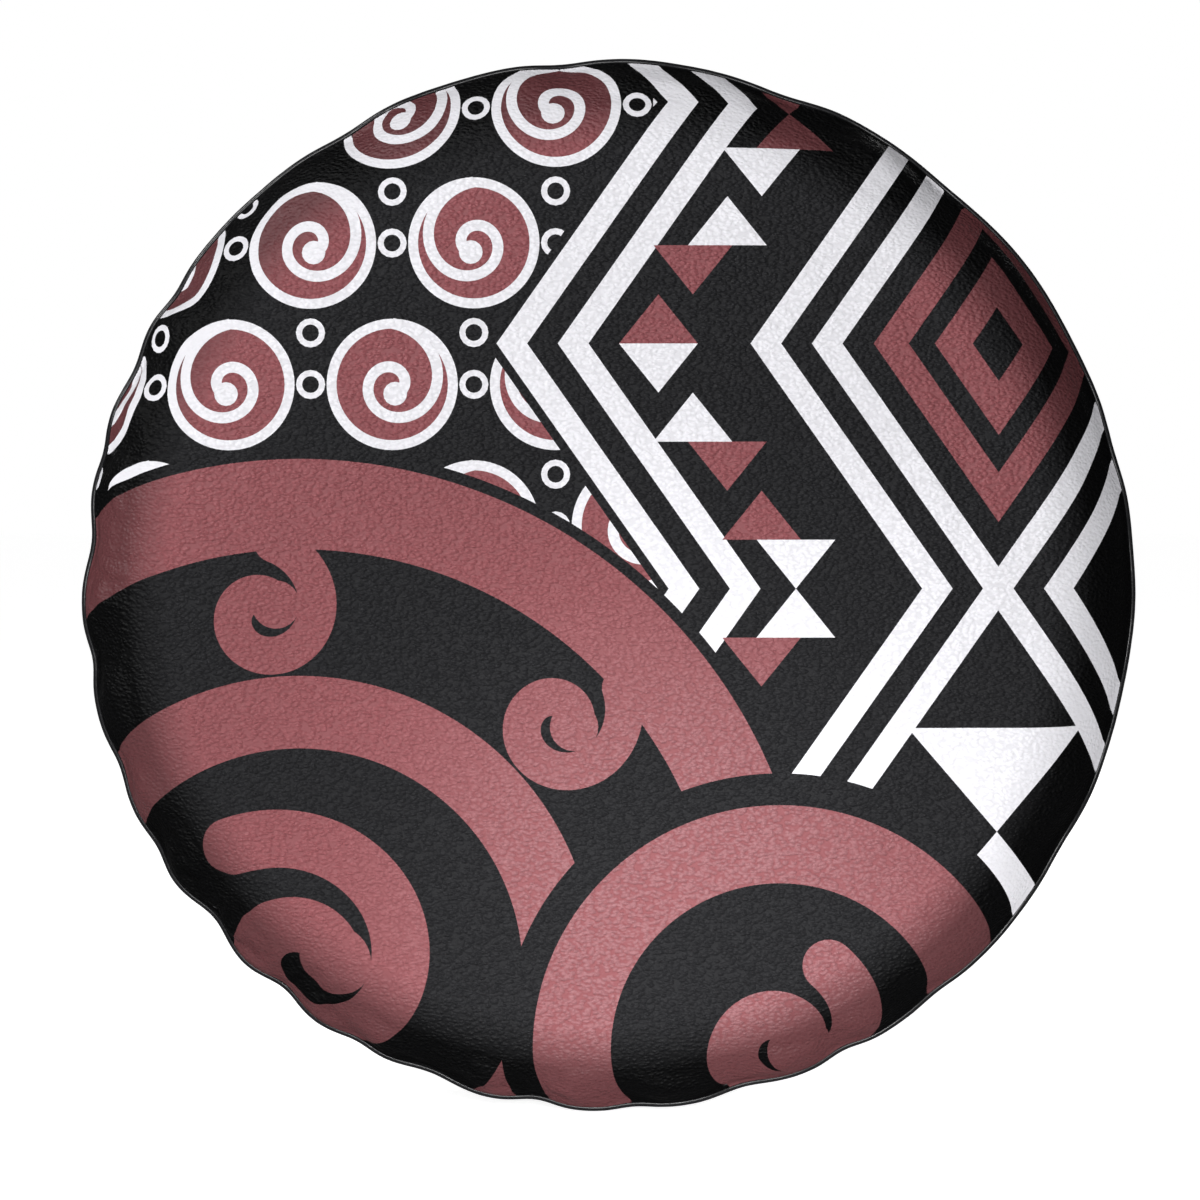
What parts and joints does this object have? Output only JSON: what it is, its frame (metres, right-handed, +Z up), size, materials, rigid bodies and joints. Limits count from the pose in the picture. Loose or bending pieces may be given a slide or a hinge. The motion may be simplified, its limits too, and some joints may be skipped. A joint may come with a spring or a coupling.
{
  "type": "spare tire cover",
  "caption": "Round soft cover for a spare tyre: printed leatherette face, piped front seam, black side band sewn from halves, and an elastic hem round the open back.",
  "frame": {"origin": "on the wheel's axis, at the inside of the front face, where the tyre's side rests", "axes": "+Y into the cover, from the printed face towards the open back; +Z up; +X to the right as the printed face is looked at"},
  "size_m": [0.7318, 0.235, 0.7318],
  "materials": {
    "printed_leatherette": "pebble-grained vinyl leatherette printed in dusty red, black and off-white, semi-matt",
    "black_leatherette": "pebble-grained vinyl leatherette, black, semi-matt",
    "knit_backing": "grey knitted backing of the leatherette, matt",
    "piping_vinyl": "smooth soft black vinyl, glossy",
    "piping_cord": "twisted filler cord, hidden in the piping",
    "elastic_web": "woven elastic strip, hidden in the hem",
    "sewing_thread": "bonded polyester sewing thread, black"
  },
  "bodies": {
    "root": {"front_panel": "printed_leatherette", "front_backing": "knit_backing", "band_left": "black_leatherette", "band_right": "black_leatherette", "band_left_backing": "knit_backing", "band_right_backing": "knit_backing", "piping_cover": "piping_vinyl", "piping_core": "piping_cord", "hem_elastic": "elastic_web", "front_seam_needle_thread": "sewing_thread", "front_seam_bobbin_thread": "sewing_thread", "hem_needle_thread": "sewing_thread", "hem_bobbin_thread": "sewing_thread", "top_joint_needle_thread": "sewing_thread", "top_joint_bobbin_thread": "sewing_thread", "bottom_joint_needle_thread": "sewing_thread", "bottom_joint_bobbin_thread": "sewing_thread"}
  },
  "joints": []
}
